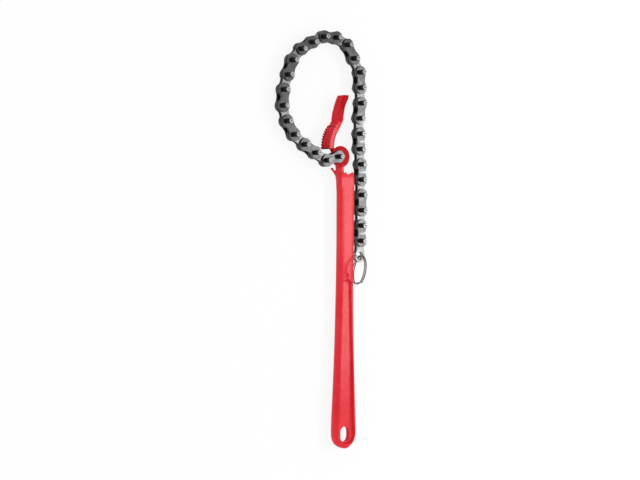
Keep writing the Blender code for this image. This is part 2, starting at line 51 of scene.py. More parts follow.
def deselectAll():
    if bpy.context.object and bpy.context.object.mode != "OBJECT":
        bpy.ops.object.mode_set(mode="OBJECT")
    bpy.ops.object.select_all(action="DESELECT")


def pick(*things):
    deselectAll()
    for thing in things:
        thing.select_set(True)
    bpy.context.view_layer.objects.active = things[0]


def settle(name):
    # Names the active object and puts its place into its mesh
    piece = bpy.context.object
    piece.name = name
    piece.data.name = name
    bpy.ops.object.transform_apply(location=True, rotation=True, scale=True)
    return piece


def addCylinder(name, radius, low, high, x, y, sides):
    deselectAll()
    bpy.ops.mesh.primitive_cylinder_add(
        vertices=sides, radius=radius * mm, depth=(high - low) * mm,
        location=(x * mm, y * mm, (low + high) / 2 * mm))
    return settle(name)


def addBox(name, lowCorner, highCorner):
    deselectAll()
    size = [(b - a) * mm for a, b in zip(lowCorner, highCorner)]
    centre = [(a + b) / 2 * mm for a, b in zip(lowCorner, highCorner)]
    bpy.ops.mesh.primitive_cube_add(size=1, location=centre, scale=size)
    return settle(name)


def traceOutline(name, points, low, high):
    # One vertex is extruded from point to point, the loop is filled, and the face is pulled up
    deselectAll()
    bpy.ops.mesh.primitive_plane_add(size=mm, location=(0, 0, 0))
    bpy.ops.object.mode_set(mode="EDIT")
    bpy.ops.mesh.select_mode(type="VERT")
    bpy.ops.mesh.select_all(action="SELECT")
    bpy.ops.mesh.merge(type="CENTER")
    bpy.ops.transform.translate(value=(points[0][0] * mm, points[0][1] * mm, low * mm))
    for here, there in zip(points, points[1:]):
        step = ((there[0] - here[0]) * mm, (there[1] - here[1]) * mm, 0)
        bpy.ops.mesh.extrude_region_move(TRANSFORM_OT_translate={"value": step})
    bpy.ops.mesh.select_all(action="SELECT")
    bpy.ops.mesh.edge_face_add()
    bpy.ops.mesh.extrude_region_move(TRANSFORM_OT_translate={"value": (0, 0, (high - low) * mm)})
    bpy.ops.mesh.select_all(action="SELECT")
    bpy.ops.mesh.normals_make_consistent(inside=False)
    bpy.ops.object.mode_set(mode="OBJECT")
    return settle(name)


def selectFaces(piece, wanted):
    # Selects faces by place or normal, in edit mode afterwards
    pick(piece)
    bpy.ops.object.mode_set(mode="EDIT")
    bpy.ops.mesh.select_mode(type="FACE")
    bpy.ops.mesh.select_all(action="DESELECT")
    bpy.ops.object.mode_set(mode="OBJECT")
    for face in piece.data.polygons:
        face.select = wanted(face)
    bpy.ops.object.mode_set(mode="EDIT")


def useModifier(piece, kind, **settings):
    pick(piece)
    step = piece.modifiers.new(kind.lower(), kind)
    for key, value in settings.items():
        setattr(step, key, value)
    bpy.ops.object.modifier_apply(modifier=step.name)


def bevelEdges(piece, width, segments, angle):
    # Rounds the edges that turn by more than the angle
    useModifier(piece, "BEVEL", width=width * mm, segments=segments, limit_method="ANGLE",
                angle_limit=radians(angle))


def cut(piece, *tools):
    for tool in tools:
        useModifier(piece, "BOOLEAN", operation="DIFFERENCE", solver="EXACT", object=tool)
        bpy.data.objects.remove(tool)


def joinPieces(name, *pieces):
    pick(*pieces)
    bpy.ops.object.join()
    joined = bpy.context.object
    joined.name = name
    return joined


def smoothBelow(piece, angle):
    pick(piece)
    bpy.ops.object.shade_smooth_by_angle(angle=radians(angle))


def keepFlats(piece, angle):
    # Smooth over the bevels, with the broad faces' own normals
    smoothBelow(piece, angle)
    useModifier(piece, "WEIGHTED_NORMAL", mode="FACE_AREA", weight=100, keep_sharp=True)


def arcPoints(x, y, radius, start, end, steps):
    points = []
    for i in range(steps + 1):
        angle = radians(start + (end - start) * i / steps)
        points.append((x + radius * cos(angle), y + radius * sin(angle)))
    return points


def giveMaterials(piece, *materials):
    piece.data.materials.clear()
    for material in materials:
        piece.data.materials.append(material)


# materials

def newMaterial(name, settings):
    material = bpy.data.materials.new(name)
    material.use_nodes = True
    shader = material.node_tree.nodes["Principled BSDF"]
    for socket, value in settings.items():
        shader.inputs[socket].default_value = value
    return material, shader


def addNode(material, kind):
    return material.node_tree.nodes.new(kind)


def wire(material, start, end):
    material.node_tree.links.new(start, end)


def addNoise(material, scale, detail, roughness):
    coords = addNode(material, "ShaderNodeTexCoord")
    noise = addNode(material, "ShaderNodeTexNoise")
    noise.inputs["Scale"].default_value = scale
    noise.inputs["Detail"].default_value = detail
    noise.inputs["Roughness"].default_value = roughness
    wire(material, coords.outputs["Object"], noise.inputs["Vector"])
    return noise


def addRamp(material, source, stops):
    ramp = addNode(material, "ShaderNodeValToRGB")
    ramp.color_ramp.elements[0].position = stops[0][0]
    ramp.color_ramp.elements[0].color = stops[0][1]
    ramp.color_ramp.elements[1].position = stops[-1][0]
    ramp.color_ramp.elements[1].color = stops[-1][1]
    for place, color in stops[1:-1]:
        ramp.color_ramp.elements.new(place).color = color
    wire(material, source, ramp.inputs["Fac"])
    return ramp.outputs["Color"]


def addRange(material, source, low, high):
    # Spreads a noise, which mostly stays between its usual values, from low to high
    usualLow, usualHigh = 0.3, 0.7
    spread = addNode(material, "ShaderNodeMapRange")
    spread.inputs["From Min"].default_value = usualLow
    spread.inputs["From Max"].default_value = usualHigh
    spread.inputs["To Min"].default_value = low
    spread.inputs["To Max"].default_value = high
    wire(material, source, spread.inputs["Value"])
    return spread.outputs["Result"]


def mixColors(material, share, first, second):
    # Inputs 6 and 7 and output 2 are the mix node's sockets for colors
    mix = addNode(material, "ShaderNodeMix")
    mix.data_type = "RGBA"
    wire(material, share, mix.inputs["Factor"])
    for source, socket in ((first, mix.inputs[6]), (second, mix.inputs[7])):
        if isinstance(source, tuple):
            socket.default_value = source
        else:
            wire(material, source, socket)
    return mix.outputs[2]


def addBumps(material, shader, layers):
    # Each layer is a noise's scale and detail, and its bump's strength and depth in metres
    before = None
    for scale, detail, strength, depth in layers:
        noise = addNoise(material, scale, detail, roughness=0.55)
        bump = addNode(material, "ShaderNodeBump")
        bump.inputs["Strength"].default_value = strength
        bump.inputs["Distance"].default_value = depth
        wire(material, noise.outputs["Fac"], bump.inputs["Height"])
        if before:
            wire(material, before.outputs["Normal"], bump.inputs["Normal"])
        before = bump
    wire(material, before.outputs["Normal"], shader.inputs["Normal"])


def edgeShare(material, low, high):
    # 0 on flats, and 1 on convex edges or, where high is below low, in hollows
    geometry = addNode(material, "ShaderNodeNewGeometry")
    share = addNode(material, "ShaderNodeMapRange")
    share.inputs["From Min"].default_value = low
    share.inputs["From Max"].default_value = high
    wire(material, geometry.outputs["Pointiness"], share.inputs["Value"])
    return share.outputs["Result"]


paintLooks = {
    "redPaint": {  # as sprayed
        "red": (0.75, 0.017, 0.030, 1), "deepRed": (0.68, 0.012, 0.021, 1),
        "paleRed": (0.79, 0.031, 0.045, 1), "ior": 1.30, "roughLow": 0.20, "roughHigh": 0.29,
    },
    "jawPaint": {  # rubbed dull by pipes
        "red": (0.75, 0.019, 0.031, 1), "deepRed": (0.67, 0.012, 0.022, 1),
        "paleRed": (0.79, 0.034, 0.046, 1), "ior": 1.18, "roughLow": 0.52, "roughHigh": 0.66,
    },
    "paintedShadeRed": {  # rubbed and stained by the chain
        # deeper red: painted shade on the boss, the head and the upper pad's sides
        "red": (0.50, 0.008, 0.016, 1), "deepRed": (0.42, 0.006, 0.012, 1),
        "paleRed": (0.58, 0.016, 0.024, 1), "ior": 1.17, "roughLow": 0.48, "roughHigh": 0.62,
    },
    "gulletShadePaint": {  # near black: painted shade in the gullets between the teeth
        "red": (0.085, 0.007, 0.010, 1), "deepRed": (0.05, 0.005, 0.007, 1),
        "paleRed": (0.14, 0.010, 0.014, 1), "ior": 1.20, "roughLow": 0.60, "roughHigh": 0.75,
    },
}
# every paint's noises (scale, detail, roughness), bumps and painted shade in hollows
paintGrain = {
    "patches": (38, 4, 0.6), "patchStops": (0.32, 0.5, 0.70), "cast": (420, 3, 0.5),
    "thinEdge": (0.53, 0.62), "hollowShadeRange": (0.47, 0.38), "hollowShade": (0.12, 0.006, 0.008, 1),
    "bumps": ((120, 3, 0.25, 0.00035), (420, 4, 0.22, 0.00010), (900, 1, 0.12, 0.00004)),
}


def makePaint(name, look):
    material, shader = newMaterial(name, {"Metallic": 0, "IOR": look["ior"]})
    patches = addNoise(material, *paintGrain["patches"])
    reds = (look["deepRed"], look["red"], look["paleRed"])
    color = addRamp(material, patches.outputs["Fac"], list(zip(paintGrain["patchStops"], reds)))
    edge = edgeShare(material, *paintGrain["thinEdge"])  # paint runs thin over sharp edges
    thin = mixColors(material, edge, color, look["paleRed"])
    hollow = edgeShare(material, *paintGrain["hollowShadeRange"])  # and narrow hollows get painted shade
    wire(material, mixColors(material, hollow, thin, paintGrain["hollowShade"]), shader.inputs["Base Color"])
    grain = addNoise(material, *paintGrain["cast"])
    wire(material, addRange(material, grain.outputs["Fac"], look["roughLow"], look["roughHigh"]),
         shader.inputs["Roughness"])
    addBumps(material, shader, paintGrain["bumps"])
    return material


# every steel's noises (detail, roughness) and bumps; a bump's scale is a multiple of its noise's own
steelGrain = {
    "mottle": (5, 0.65), "mottleStops": (0.34, 0.66), "smear": (4, 0.6), "brightEdge": (0.52, 0.60),
    "smearBump": (2, 3, 0.18, 0.00012), "mottleBump": (3, 2, 0.14, 0.00004),
}


def makeSteel(name, look):
    material, shader = newMaterial(name, {"Metallic": look["metallic"], "IOR": look["ior"]})
    mottle = addNoise(material, look["mottleScale"], *steelGrain["mottle"])
    greys = (look["dark"], look["light"])
    color = addRamp(material, mottle.outputs["Fac"], list(zip(steelGrain["mottleStops"], greys)))
    edge = edgeShare(material, *steelGrain["brightEdge"])  # lighter edges: handling wear, and a painted highlight
    worn = mixColors(material, edge, color, look["edge"])
    wire(material, worn, shader.inputs["Base Color"])
    smear = addNoise(material, look["smearScale"], *steelGrain["smear"])
    wire(material, addRange(material, smear.outputs["Fac"], look["roughLow"], look["roughHigh"]),
         shader.inputs["Roughness"])
    addBumps(material, shader, [
        (look[kind + "Scale"] * steelGrain[kind + "Bump"][0], *steelGrain[kind + "Bump"][1:])
        for kind in ("smear", "mottle")])
    return material


steelLooks = {
    "outerPlateSteel": {
        "dark": (0.021, 0.021, 0.022, 1), "light": (0.055, 0.056, 0.058, 1), "edge": (0.12, 0.12, 0.123, 1),
        "metallic": 0.9, "ior": 1.5, "mottleScale": 480, "smearScale": 150,
        "roughLow": 0.16, "roughHigh": 0.27,
    },
    # lighter than the outer plates: painted light on the inner plates, which lie in the outer plates' shade
    "innerPlateSteel": {
        "dark": (0.09, 0.09, 0.092, 1), "light": (0.18, 0.18, 0.182, 1), "edge": (0.28, 0.28, 0.28, 1),
        "metallic": 0.9, "ior": 1.5, "mottleScale": 520, "smearScale": 170,
        "roughLow": 0.24, "roughHigh": 0.38,
    },
    # dark steel: painted shade on the plates' rims and on the bushes
    "plateRimShade": {
        "dark": (0.030, 0.030, 0.031, 1), "light": (0.085, 0.085, 0.088, 1), "edge": (0.16, 0.16, 0.16, 1),
        "metallic": 0.7, "ior": 1.4, "mottleScale": 620, "smearScale": 210,
        "roughLow": 0.30, "roughHigh": 0.45,
    },
    "endLinkSteel": {
        "dark": (0.15, 0.15, 0.147, 1), "light": (0.26, 0.26, 0.256, 1), "edge": (0.36, 0.36, 0.355, 1),
        "metallic": 0.85, "ior": 1.5, "mottleScale": 480, "smearScale": 140,
        "roughLow": 0.30, "roughHigh": 0.44,
    },
    # near black: painted shade on the pins' sides
    "pinSideShade": {
        "dark": (0.006, 0.006, 0.006, 1), "light": (0.014, 0.014, 0.015, 1), "edge": (0.05, 0.05, 0.05, 1),
        "metallic": 0, "ior": 1.2, "mottleScale": 600, "smearScale": 200,
        "roughLow": 0.42, "roughHigh": 0.55,
    },
    "pinEnd": {
        "dark": (0.12, 0.12, 0.12, 1), "light": (0.35, 0.35, 0.35, 1), "edge": (0.46, 0.46, 0.46, 1),
        "metallic": 0.9, "ior": 1.5, "mottleScale": 760, "smearScale": 300,
        "roughLow": 0.34, "roughHigh": 0.50,
    },
    "ringNickel": {
        "dark": (0.11, 0.105, 0.10, 1), "light": (0.23, 0.22, 0.21, 1), "edge": (0.31, 0.30, 0.29, 1),
        "metallic": 1.0, "ior": 1.5, "mottleScale": 420, "smearScale": 160,
        "roughLow": 0.12, "roughHigh": 0.22,
    },
}

paint = {name: makePaint(name, look) for name, look in paintLooks.items()}
steel = {name: makeSteel(name, look) for name, look in steelLooks.items()}
print("materials made:", len(paint) + len(steel))


# handle

handleSize = {
    # down from the anchor pin, middle line right of it, width, thickness, corner
    "sections": (
        (26, 10.7, 18.2, 9.0, 0.6), (60, 10.6, 18.25, 9.05, 0.7), (90, 10.45, 18.3, 9.1, 0.9),
        (115, 9.9, 18.4, 9.5, 1.3), (131, 9.6, 18.9, 10.1, 1.9), (150, 9.3, 19.6, 10.8, 2.3),
        (176, 9.1, 20.7, 11.7, 2.8), (207, 8.9, 22.7, 13.2, 3.4), (238, 8.6, 24.9, 15.0, 4.0),
        (259, 8.3, 26.8, 16.0, 4.4), (272, 8.1, 28.0, 16.4, 4.6), (284, 8.05, 29.0, 16.2, 4.6),
        (288, 8.05, 28.8, 15.8, 4.6), (291.7, 8.05, 27.2, 15.3, 4.6), (293.8, 8.05, 25.4, 14.9, 4.6),
        (295.9, 8.05, 22.6, 14.3, 4.5), (298.4, 8.05, 16.6, 13.0, 4.3), (300.0, 8.05, 10.2, 11.5, 3.6),
        (301.0, 8.05, 3.8, 9.4, 1.6),
    ),
    "panelHalfWidths": (
        (131, 4.4), (150, 4.95), (176, 5.6), (207, 6.7), (238, 7.2), (259, 7.6), (270, 7.9), (279, 8.9),
    ),
    "panelEnd": 286.2, "panelEndRadius": 9.5, "web": 5.2,
    # how much wider and longer the panel is at its cutter's outer end, about a middle point
    "wallDraft": 1.34, "wallStretch": 1.008, "wallMiddle": 8.7, "wallFrom": 120, "cutHeight": 9.5,
    "hangHole": 286.3, "hangHoleWidth": 11.0, "hangHoleLength": 16.0,
    "dent": 122.0, "dentRadius": 2.4, "dentDepth": 0.9, "dentSurface": 4.75,
    "stub": 2.0,  # length of the box that the shank is extruded from
    "voxel": 0.5, "smoothing": 5,
}


def middleLine(down):
    sections = handleSize["sections"]
    for above, below in zip(sections, sections[1:]):
        if down <= below[0]:
            share = (down - above[0]) / (below[0] - above[0])
            return above[1] + (below[1] - above[1]) * share
    return sections[-1][1]


def resizeSelected(wide, long, tall, centre):
    bpy.ops.transform.resize(value=(wide, long, tall), center_override=centre)


def selectRing(piece, y, wanted=None):
    # The vertices of the ring at y, all of them or those that wanted() keeps
    bpy.ops.mesh.select_mode(type="VERT")
    bpy.ops.mesh.select_all(action="DESELECT")
    bpy.ops.object.mode_set(mode="OBJECT")
    for vertex in piece.data.vertices:
        near = abs(vertex.co.y - y) < 0.01 * mm
        vertex.select = near and (wanted is None or wanted(vertex.co))
    bpy.ops.object.mode_set(mode="EDIT")


def makeShank():
    # A box end is chamfered, then extruded down the handle and resized at each measured section
    down, middle, width, thick, corner = handleSize["sections"][0]
    stub = handleSize["stub"]
    deselectAll()
    bpy.ops.mesh.primitive_cube_add(
        size=1, location=(middle * mm, -(down + stub / 2) * mm, 0),
        scale=(width * mm, stub * mm, thick * mm))
    shank = settle("shank")
    bpy.ops.object.mode_set(mode="EDIT")
    bpy.ops.mesh.select_mode(type="EDGE")
    bpy.ops.mesh.select_all(action="DESELECT")
    bpy.ops.object.mode_set(mode="OBJECT")
    corners = shank.data.vertices
    for edge in shank.data.edges:
        a, b = (corners[i].co for i in edge.vertices)
        edge.select = abs(a.y - b.y) > mm
    bpy.ops.object.mode_set(mode="EDIT")
    bpy.ops.mesh.bevel(offset=corner * mm, segments=1)
    bpy.ops.mesh.select_mode(type="FACE")
    bpy.ops.mesh.select_all(action="DESELECT")
    bpy.ops.object.mode_set(mode="OBJECT")
    for face in shank.data.polygons:
        face.select = face.normal.y < -0.9
    bpy.ops.object.mode_set(mode="EDIT")
    here = (down + stub, middle, width, thick, corner)
    for section in handleSize["sections"][1:]:
        lastDown, lastMiddle, lastWidth, lastThick, lastCorner = here
        down, middle, width, thick, corner = section
        move = ((middle - lastMiddle) * mm, -(down - lastDown) * mm, 0)
        bpy.ops.mesh.extrude_region_move(TRANSFORM_OT_translate={"value": move})
        centre = (middle * mm, -down * mm, 0)
        resizeSelected(width / lastWidth, 1, thick / lastThick, centre)
        bpy.ops.mesh.select_mode(type="VERT")
        # the chamfer follows its own measure: side points move in height, top points across
        flatNow = thick / 2 - lastCorner * thick / lastThick
        acrossNow = width / 2 - lastCorner * width / lastWidth
        sideX, near = width / 2 * mm, 0.02 * mm
        selectRing(shank, -down * mm, lambda co: abs(abs(co.x - centre[0]) - sideX) < near)
        resizeSelected(1, 1, (thick / 2 - corner) / flatNow, centre)
        selectRing(shank, -down * mm, lambda co: abs(abs(co.x - centre[0]) - sideX) >= near)
        resizeSelected((width / 2 - corner) / acrossNow, 1, 1, centre)
        selectRing(shank, -down * mm)
        bpy.ops.mesh.select_mode(type="FACE")
        here = section
    bpy.ops.object.mode_set(mode="OBJECT")
    useModifier(shank, "SUBSURF", levels=3, render_levels=3)
    print("shank extruded:", len(shank.data.polygons), "faces, ends", down, "mm down")
    return shank


def panelPoints():
    widths = handleSize["panelHalfWidths"]
    top, topHalf = widths[0]
    end, endRadius = handleSize["panelEnd"], handleSize["panelEndRadius"]
    left = [(middleLine(down) - half, -down) for down, half in widths[1:]]
    right = [(middleLine(down) + half, -down) for down, half in widths[1:]]
    points = arcPoints(middleLine(top), -top, topHalf, 0, 180, steps=16) + left
    points += arcPoints(middleLine(end), -end, endRadius, 180, 360, steps=28)
    return points + list(reversed(right))


def makePanelCutter(name, low, high):
    # The panel's outline with drafted walls: the outer end is larger than the floor
    size = handleSize
    cutter = traceOutline(name, panelPoints(), low, high)
    outer, near = max(low, high, key=abs) * mm, 0.01 * mm
    selectFaces(cutter, lambda face: abs(face.center.z - outer) < near and abs(face.normal.z) > 0.9)
    centre = (size["wallMiddle"] * mm, -(size["panelEnd"] + size["wallFrom"]) / 2 * mm, outer)
    resizeSelected(size["wallDraft"], size["wallStretch"], 1, centre)
    bpy.ops.object.mode_set(mode="OBJECT")
    return cutter


def cutPanels(shank):
    size = handleSize
    web, reach = size["web"] / 2, size["cutHeight"]
    cut(shank, makePanelCutter("upperPanel", web, reach), makePanelCutter("lowerPanel", -reach, -web))
    x, radius = middleLine(size["hangHole"]), size["hangHoleWidth"] / 2
    rise = (size["hangHoleLength"] - size["hangHoleWidth"]) / 2
    hole = arcPoints(x, -size["hangHole"] + rise, radius, 0, 180, steps=20)
    hole += arcPoints(x, -size["hangHole"] - rise, radius, 180, 360, steps=20)
    cut(shank, traceOutline("hangHole", hole, -reach, reach))
    deselectAll()
    height = size["dentSurface"] - size["dentDepth"] + size["dentRadius"]
    bpy.ops.mesh.primitive_uv_sphere_add(
        segments=24, ring_count=16, radius=size["dentRadius"] * mm,
        location=(middleLine(size["dent"]) * mm, -size["dent"] * mm, height * mm))
    cut(shank, settle("dent"))
    print("panels, hang hole and dent cut")


headSize = {
    # across and down from the anchor pin
    "left": ((-2.6, 11.3), (-2.2, 13.2), (-0.4, 15.9), (1.4, 19.8), (1.8, 33)),
    "right": ((14.6, 11.3), (15.2, 14), (17.4, 18), (19.2, 23), (19.7, 33)),
    # the cheeks' outer faces: from spread high at slopeTop down to foot high at slopeEnd
    "slopeTop": 12.5, "slopeEnd": 27, "spread": 8.3, "foot": 4.4, "flare": 2.2, "slopeSteps": 16,
    "buriedFoot": (36, 4.2),  # the slope's last point, inside the shank
    "sideTop": 8, "cutReach": 24,
    # the slot takes the hooked link's plates, and the saddle its pin
    "slot": 9.6, "slotDepth": 20.3, "saddleRadius": 11.2, "saddleX": 8.9, "saddleBottom": 17.8,
    # the boss, with the tongue's thickness and its faces' slope
    "bossX": 4.5, "bossRadius": 11.1, "tongue": 4.8, "bossDraft": 1.1, "bossSlope": 3.0, "tongueEdge": 1.2,
    # the thick core between the cheeks, and the neck that carries the boss
    "core": (
        (0.6, 8.8), (1.1, 13), (1.4, 18), (1.5, 21), (9.8, 21), (9.2, 18.6), (6.4, 17), (5.0, 13), (4.6, 8.8),
    ),
    "coreThickness": 10.0, "coreEdge": 1.7,
    "neck": ((-1.9, 4), (-1.6, 8), (-0.4, 13), (0.3, 18), (1.8, 31), (12, 31), (10, 20), (7.6, 15), (7.0, 4)),
    # the head above this height gets the darker red of painted shade
    "anchorBore": 2.7, "shadedAbove": -8.5,
}


def makeHead():
    # Two cheeks over the neck, sloping down to the shank
    size = headSize
    slopeTop, slopeEnd, reach, foot = size["slopeTop"], size["slopeEnd"], size["spread"], size["foot"]
    plan = [(x, -y) for x, y in size["left"]] + [(x, -y) for x, y in reversed(size["right"])]
    head = traceOutline("head", plan, -reach, reach)
    footDown, footHeight = size["buriedFoot"]
    slope = [(-footDown, footHeight)]
    for i in range(size["slopeSteps"] + 1):
        share = i / size["slopeSteps"]
        height = foot + (reach - foot) * share ** size["flare"]
        slope.append((-slopeEnd + (slopeEnd - slopeTop) * share, height))
    side = [(-size["sideTop"], -reach - past), (-slopeTop, -reach - past)]
    side += [(down, -height) for down, height in reversed(slope)] + slope
    side += [(-slopeTop, reach + past), (-size["sideTop"], reach + past)]
    wide = size["cutReach"]
    across = traceOutline("headSide", side, -wide, wide)
    # the side outline is drawn flat, so it turns until its x lies along y and its y along z
    across.matrix_world = Matrix(((0, 0, 1, 0), (1, 0, 0, 0), (0, 1, 0, 0), (0, 0, 0, 1)))
    pick(across)
    bpy.ops.object.transform_apply(location=True, rotation=True, scale=True)
    useModifier(head, "BOOLEAN", operation="INTERSECT", solver="EXACT", object=across)
    bpy.data.objects.remove(across)
    half, radius = size["slot"] / 2, size["saddleRadius"]
    saddleY = radius - size["saddleBottom"]
    cut(head,
        addCylinder("saddle", radius, -reach - past, reach + past, size["saddleX"], saddleY, sides=96),
        addBox("slot", (-wide, -size["slotDepth"], -half), (wide, past, half)))
    return head


def makeTongue():
    # Boss and neck in the handle's middle plane, which the first link's plates straddle
    size = headSize
    half = size["tongue"] / 2
    rim = half - size["bossDraft"]
    boss = addCylinder("boss", size["bossRadius"], -rim, rim, size["bossX"], 0, sides=96)
    for side in (1, -1):  # its faces rise from the rim to the flat that the link lies on
        selectFaces(boss, lambda face: face.normal.z * side > 0.9)
        bpy.ops.mesh.inset(thickness=size["bossSlope"] * mm)
        bpy.ops.transform.translate(value=(0, 0, side * size["bossDraft"] * mm))
        bpy.ops.object.mode_set(mode="OBJECT")
    neck = traceOutline("neck", [(x, -y) for x, y in size["neck"]], -half, half)
    rib = traceOutline("rib", ribPoints(), -half, half)
    coreHalf = size["coreThickness"] / 2
    core = traceOutline("core", [(x, -y) for x, y in size["core"]], -coreHalf, coreHalf)
    edge = size["tongueEdge"]
    edges = {boss: edge / 2, neck: edge, rib: edge, core: size["coreEdge"]}
    for piece, width in edges.items():
        bevelEdges(piece, width, segments=3, angle=40)
    return list(edges)


jawSize = {
    "width": 14.6, "pad": 4.2, "ribDepth": 3.8, "toothDepth": 1.25, "tipAngle": 143.6, "edge": 0.22,
    # each pad's centre and radius, then its front's first and last angle; the upper one starts smooth
    "lowerPad": (17.7, 9.9, 33.3), "lowerFrom": 182.6, "lowerTo": 142.5, "lowerToe": 184.6,
    "upperPad": (46.1, 35.9, 49.3), "upperFrom": 178.5, "upperTo": 147.0, "smoothShare": 0.35,
    "lowerTeeth": 8, "upperTeeth": 7, "notch": ((-8.0, 30.8), (-3.9, 33.2), (-3.0, 35.4)),
    "endArc": 0.5, "upperEndArc": 0.4,  # short flats at the pads' ends, in degrees
    # shares of a tooth's step: its tip's two edges and its root's two edges
    "toothShares": (0.08, 0.5, 0.62, 0.96),
    # teeth on the back: first and last angle, their number and depth
    "lowerBack": (147.5, 181, 8, 2.2), "upperBack": (149.5, 164.5, 5, 1.4),
    # the worn middle of each pad's front: its two heights, and how far it lies below the tips
    "lowerWorn": (-3.6, 6.3), "upperWorn": (-4.7, 4.9), "lowerWear": 0.12, "upperWear": 0.30,
    "wornDepth": 2.2,  # its inner edge, below the tips
    "upperWornPast": (1, 0.2),  # degrees that it runs past the upper teeth, at each end
    "backFill": 6.6,  # the back's gullets are open only above this height and below its mirror
    "fillOverlap": 1, "fillShort": 0.1,  # what fills them starts in the pad and ends below the tips
    "shadeBand": (0.35, 1.45),  # below the tips: where a face lies in a gullet and gets painted shade
    # the upper pad's sides lean in toward its front, from a line along its back
    "leanLine": (5.2, 51.0), "leanHeading": 73.5, "lean": 20, "leanBlock": (34, 40, 8),
    # the rib: shares of the two pads where it ends, its ends' setback in degrees on the back, and its
    # foot in the boss as shares of the boss's radius, left and up
    "ribEnds": (0.12, 0.93), "ribSetback": (1, 3),
    "ribFoot": ((0.8, 0.8), (0.3, 0.6), (0.85, 0.2), (1.1, 0.52), (1.32, 0.8)),
}


def toothedArc(x, y, tip, root, start, end, teeth):
    points = []
    step = (end - start) / teeth
    tipStart, tipEnd, rootStart, rootEnd = (step * share for share in jawSize["toothShares"])
    for i in range(teeth):
        base = start + step * i
        points += arcPoints(x, y, tip, base + tipStart, base + tipEnd, steps=1)
        points += arcPoints(x, y, root, base + rootStart, base + rootEnd, steps=1)
    return points


def smoothEnd():
    return jawSize["upperFrom"] + (jawSize["upperTo"] - jawSize["upperFrom"]) * jawSize["smoothShare"]


def jawPoints():
    size = jawSize
    lowX, lowY, lowR = size["lowerPad"]
    upX, upY, upR = size["upperPad"]
    lowFrom, lowTo, lowToe = size["lowerFrom"], size["lowerTo"], size["lowerToe"]
    upFrom, upTo, tip, endArc = size["upperFrom"], size["upperTo"], size["tipAngle"], size["endArc"]
    lowRoot, upRoot = lowR - size["toothDepth"], upR - size["toothDepth"]
    front = arcPoints(lowX, lowY, lowRoot, lowToe, lowToe - endArc, steps=1)
    front += toothedArc(lowX, lowY, lowR, lowRoot, lowFrom, lowTo, size["lowerTeeth"])
    front += list(size["notch"])
    front += arcPoints(upX, upY, upR, upFrom, smoothEnd(), steps=6)
    front += toothedArc(upX, upY, upR, upRoot, smoothEnd(), upTo, size["upperTeeth"])
    front += arcPoints(upX, upY, upR, upTo, upTo - size["upperEndArc"], steps=1)
    lowBack, upBack = lowR - size["pad"], upR - size["pad"]
    start, end, teeth, depth = size["upperBack"]
    back = arcPoints(upX, upY, upBack, tip, tip + endArc, steps=1)
    back += toothedArc(upX, upY, upBack - depth, upBack, start, end, teeth)
    back += arcPoints(upX, upY, upBack - depth, end, upFrom, steps=8)
    start, end, teeth, depth = size["lowerBack"]
    back += toothedArc(lowX, lowY, lowBack - depth, lowBack, start, end, teeth)
    back += arcPoints(lowX, lowY, lowBack, lowFrom - endArc, lowFrom, steps=1)
    return front + back


def ribPoints():
    size = jawSize
    lowX, lowY, lowR = size["lowerPad"]
    upX, upY, upR = size["upperPad"]
    lowFrom, lowTo, upFrom, upTo = size["lowerFrom"], size["lowerTo"], size["upperFrom"], size["upperTo"]
    lowEnd, upEnd = size["ribEnds"]
    lowBack, upBack = size["ribSetback"]
    lowFoot, upTop = lowFrom + (lowTo - lowFrom) * lowEnd, upFrom + (upTo - upFrom) * upEnd
    inside, behind = size["pad"] / 2, size["pad"] + size["ribDepth"]
    front = arcPoints(lowX, lowY, lowR - inside, lowFoot, lowTo, steps=12)
    front += arcPoints(upX, upY, upR - inside, upFrom, upTop, steps=12)
    back = arcPoints(upX, upY, upR - behind, upTop - upBack, upFrom, steps=12)
    back += arcPoints(lowX, lowY, lowR - behind, lowTo, lowFoot + lowBack, steps=12)
    bossX, r = headSize["bossX"], headSize["bossRadius"]
    return front + back + [(bossX - r * left, r * up) for left, up in size["ribFoot"]]


def leanSides(jaw):
    # A tilted block is cut off each side of the upper pad
    heading, lean = radians(jawSize["leanHeading"]), radians(jawSize["lean"])
    x, y = jawSize["leanLine"]
    length, reach, height = jawSize["leanBlock"]
    for side in (1, -1):
        deselectAll()
        tilt = Matrix.Rotation(heading, 3, "Z") @ Matrix.Rotation(-side * lean, 3, "X")
        centre = Vector((x, y, side * jawSize["width"] / 2)) + tilt @ Vector((0, 0, side * height / 2))
        bpy.ops.mesh.primitive_cube_add(
            size=1, location=centre * mm, rotation=tilt.to_euler(),
            scale=(length * mm, reach * mm, height * mm))
        cut(jaw, settle("leanBlock"))


def padBand(name, pad, outer, inner, start, end, low, high):
    # A strip along a pad, which fills its gullets between two heights
    x, y, radius = pad
    edge = arcPoints(x, y, radius - outer, start, end, steps=16)
    edge += arcPoints(x, y, radius - inner, end, start, steps=16)
    return traceOutline(name, edge, low, high)


def inGullet(place):
    # Between the tips and the roots of a pad's front teeth, which get painted shade on the upper pad's lower
    # half and along the whole lower pad
    notchTop, upperStart = jawSize["notch"][0][1], jawSize["upperPad"][1]
    if place.y > upperStart and place.z < midHeight / mm:
        x, y, radius = jawSize["upperPad"]
    elif 0 < place.y < notchTop:
        x, y, radius = jawSize["lowerPad"]
    else:
        return False
    near, far = jawSize["shadeBand"]
    return near < radius - hypot(place.x - x, place.y - y) < far


def paintJaw(jaw):
    # Clean paint on the lower pad's sides, painted shade on the upper pad's sides and in the gullets
    giveMaterials(jaw, *(paint[name] for name in ("jawPaint", "redPaint", "paintedShadeRed", "gulletShadePaint")))
    front, lowerSide, upperSide, gullet = range(4)
    for face in jaw.data.polygons:
        place, up = face.center / mm, abs(face.normal.z)
        # the tops of the back's fills are the floors of its gullets, and get painted shade too
        fillTop = abs(abs(place.z - midHeight / mm) - jawSize["backFill"]) < 0.02
        if (up > 0.95 and fillTop) or (up < 0.3 and inGullet(place)):
            face.material_index = gullet
        elif up > 0.5:
            face.material_index = lowerSide if place.y < jawSize["upperPad"][1] else upperSide
        else:
            face.material_index = front


